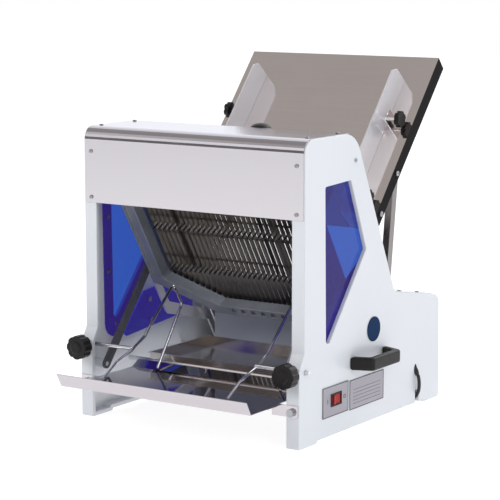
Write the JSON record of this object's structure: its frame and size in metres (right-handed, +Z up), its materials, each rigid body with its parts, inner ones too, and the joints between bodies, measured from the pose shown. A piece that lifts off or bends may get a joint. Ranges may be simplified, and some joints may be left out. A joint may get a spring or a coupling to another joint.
{
  "type": "bread slicer machine",
  "caption": "Bench-top bread slicer with leaning reciprocating blade frames, a sloping feed chute with loaf pusher and guides, and a discharge tray with wire fences.",
  "frame": {"origin": "centre of the machine's footprint on the bench, without the cord", "axes": "+Z up, +Y from the discharge tray to the feed chute, +X to the switch side"},
  "size_m": [0.61, 0.8076, 0.7091],
  "materials": {
    "white_paint": "smooth gloss powder coat",
    "dark_paint": "matt dark paint",
    "stainless": "fine brushed",
    "polished": "polished",
    "cast_alu": "sand cast, grey",
    "bright_alu": "satin anodised",
    "blade_steel": "ground",
    "black_wire": "black coated",
    "black_plastic": "moulded, fine texture",
    "tint_blue": "clear tinted sheet",
    "nylon": "plain nylon",
    "fibre": "laminated fibre",
    "red_plastic": "glossy lit rocker",
    "label_metal": "brushed plate, bare",
    "badge_blue": "plain disc",
    "motor_iron": "painted casting",
    "belt_rubber": "ribbed rubber",
    "pan_sheet": "polished sheet",
    "screw_steel": "plated",
    "cord_rubber": "matt"
  },
  "bodies": {
    "base": {"side_frame_left": "white_paint", "side_frame_right": "white_paint", "tie_rods": "polished", "base_plate": "dark_paint", "base_front_panel": "white_paint", "base_cover": "white_paint", "front_cover": "stainless", "cover_screws": "screw_steel", "windows": "tint_blue", "guards": "tint_blue", "window_screws": "screw_steel", "frame_pads": "nylon", "chute": "stainless", "chute_struts": "polished", "chute_brackets": "dark_paint", "chute_bolts": "screw_steel", "motor": "motor_iron", "drive_belt": "belt_rubber", "tray": "polished", "tray_screws": "screw_steel", "crumb_pan": "pan_sheet", "switch_plate": "label_metal", "rating_plate": "label_metal", "side_disc": "badge_blue", "handle_left": "black_plastic", "handle_right": "black_plastic", "cord_gland": "cord_rubber", "cord_lead": "cord_rubber", "cord_coil": "cord_rubber", "cord_tail": "cord_rubber", "cord_tie": "black_plastic", "plug": "black_plastic"},
    "front_blades": {"blade_frame_front": "cast_alu", "blades_front": "blade_steel", "con_rods_front": "bright_alu"},
    "rear_blades": {"blade_frame_rear": "cast_alu", "blades_rear": "blade_steel", "con_rods_rear": "bright_alu"},
    "pusher": {"pusher_comb": "black_wire", "pusher_grip": "black_plastic"},
    "guide_l": {"guide_left": "bright_alu"},
    "guide_r": {"guide_right": "bright_alu"},
    "guide_knob_ll": {"guide_knob_left_lower": "black_plastic"},
    "guide_knob_lu": {"guide_knob_left_upper": "black_plastic"},
    "guide_knob_rl": {"guide_knob_right_lower": "black_plastic"},
    "guide_knob_ru": {"guide_knob_right_upper": "black_plastic"},
    "arm_fl": {"arm_front_left": "fibre"},
    "arm_fr": {"arm_front_right": "fibre"},
    "arm_rl": {"arm_rear_left": "fibre"},
    "arm_rr": {"arm_rear_right": "fibre"},
    "shaft": {"drive_shaft": "dark_paint"},
    "motor_drive": {"motor_pulley": "dark_paint"},
    "rail_l": {"rail_left": "polished"},
    "rail_r": {"rail_right": "polished"},
    "rail_knob_l": {"rail_knob_left": "black_plastic"},
    "rail_knob_r": {"rail_knob_right": "black_plastic"},
    "rocker": {"switch_rocker": "red_plastic"}
  },
  "joints": [
    {"name": "front_blade_stroke", "type": "slide", "parent": "base", "child": "front_blades", "axis": [0, -0.5299, 0.848], "range_m": [-0.012, 0.012]},
    {"name": "rear_blade_stroke", "type": "slide", "parent": "base", "child": "rear_blades", "axis": [0, -0.5299, 0.848], "range_m": [-0.012, 0.012]},
    {"name": "pusher_slide", "type": "slide", "parent": "base", "child": "pusher", "axis": [0, 0.6455, 0.7638], "range_m": [0, 0.11]},
    {"name": "guide_left_slide", "type": "slide", "parent": "base", "child": "guide_l", "axis": [-1, 0, 0], "range_m": [-0.012, 0.012]},
    {"name": "guide_right_slide", "type": "slide", "parent": "base", "child": "guide_r", "axis": [1, 0, 0], "range_m": [-0.012, 0.012]},
    {"name": "guide_knob_left_lower_turn", "type": "hinge", "parent": "guide_l", "child": "guide_knob_ll", "pos_m": [-0.208, 0.09352, 0.44109], "axis": [-1, 0, 0], "continuous": true},
    {"name": "guide_knob_left_upper_turn", "type": "hinge", "parent": "guide_l", "child": "guide_knob_lu", "pos_m": [-0.208, 0.21874, 0.58927], "axis": [-1, 0, 0], "continuous": true},
    {"name": "guide_knob_right_lower_turn", "type": "hinge", "parent": "guide_r", "child": "guide_knob_rl", "pos_m": [0.208, 0.09352, 0.44109], "axis": [1, 0, 0], "continuous": true},
    {"name": "guide_knob_right_upper_turn", "type": "hinge", "parent": "guide_r", "child": "guide_knob_ru", "pos_m": [0.208, 0.21874, 0.58927], "axis": [1, 0, 0], "continuous": true},
    {"name": "front_arm_left_swing", "type": "hinge", "parent": "base", "child": "arm_fl", "pos_m": [-0.2223, -0.20781, 0.10462], "axis": [1, 0, 0], "range_deg": [-3, 3]},
    {"name": "front_arm_right_swing", "type": "hinge", "parent": "base", "child": "arm_fr", "pos_m": [0.2223, -0.20781, 0.10462], "axis": [1, 0, 0], "range_deg": [-3, 3]},
    {"name": "rear_arm_left_swing", "type": "hinge", "parent": "base", "child": "arm_rl", "pos_m": [-0.2223, 0.06493, 0.32762], "axis": [1, 0, 0], "range_deg": [-8, 8]},
    {"name": "rear_arm_right_swing", "type": "hinge", "parent": "base", "child": "arm_rr", "pos_m": [0.2223, 0.06493, 0.32762], "axis": [1, 0, 0], "range_deg": [-8, 8]},
    {"name": "drive_shaft_turn", "type": "hinge", "parent": "base", "child": "shaft", "pos_m": [0, 0.1833, 0.15], "axis": [1, 0, 0], "continuous": true},
    {"name": "motor_pulley_turn", "type": "hinge", "parent": "base", "child": "motor_drive", "pos_m": [0.106, 0.2463, 0.08], "axis": [1, 0, 0], "continuous": true},
    {"name": "rail_left_slide", "type": "slide", "parent": "base", "child": "rail_l", "axis": [-1, 0, 0], "range_m": [-0.02, 0.01]},
    {"name": "rail_right_slide", "type": "slide", "parent": "base", "child": "rail_r", "axis": [1, 0, 0], "range_m": [-0.02, 0.01]},
    {"name": "rail_knob_left_turn", "type": "hinge", "parent": "base", "child": "rail_knob_l", "pos_m": [-0.245, -0.2617, 0.146], "axis": [0, -1, 0], "continuous": true},
    {"name": "rail_knob_right_turn", "type": "hinge", "parent": "base", "child": "rail_knob_r", "pos_m": [0.245, -0.2617, 0.146], "axis": [0, -1, 0], "continuous": true},
    {"name": "switch_rock", "type": "hinge", "parent": "base", "child": "rocker", "pos_m": [0.256, -0.1094, 0.075], "axis": [0, 0, 1], "range_deg": [-14, 0]}
  ],
  "couplings": [
    {"joint": "rear_blade_stroke", "follows": "front_blade_stroke", "ratio": -1},
    {"joint": "front_arm_left_swing", "follows": "front_blade_stroke", "rad_per_m": 4.0103},
    {"joint": "rear_arm_left_swing", "follows": "front_blade_stroke", "rad_per_m": 11.364},
    {"joint": "front_arm_right_swing", "follows": "front_blade_stroke", "rad_per_m": 4.0103},
    {"joint": "rear_arm_right_swing", "follows": "front_blade_stroke", "rad_per_m": 11.364},
    {"joint": "motor_pulley_turn", "follows": "drive_shaft_turn", "ratio": 2.25}
  ]
}
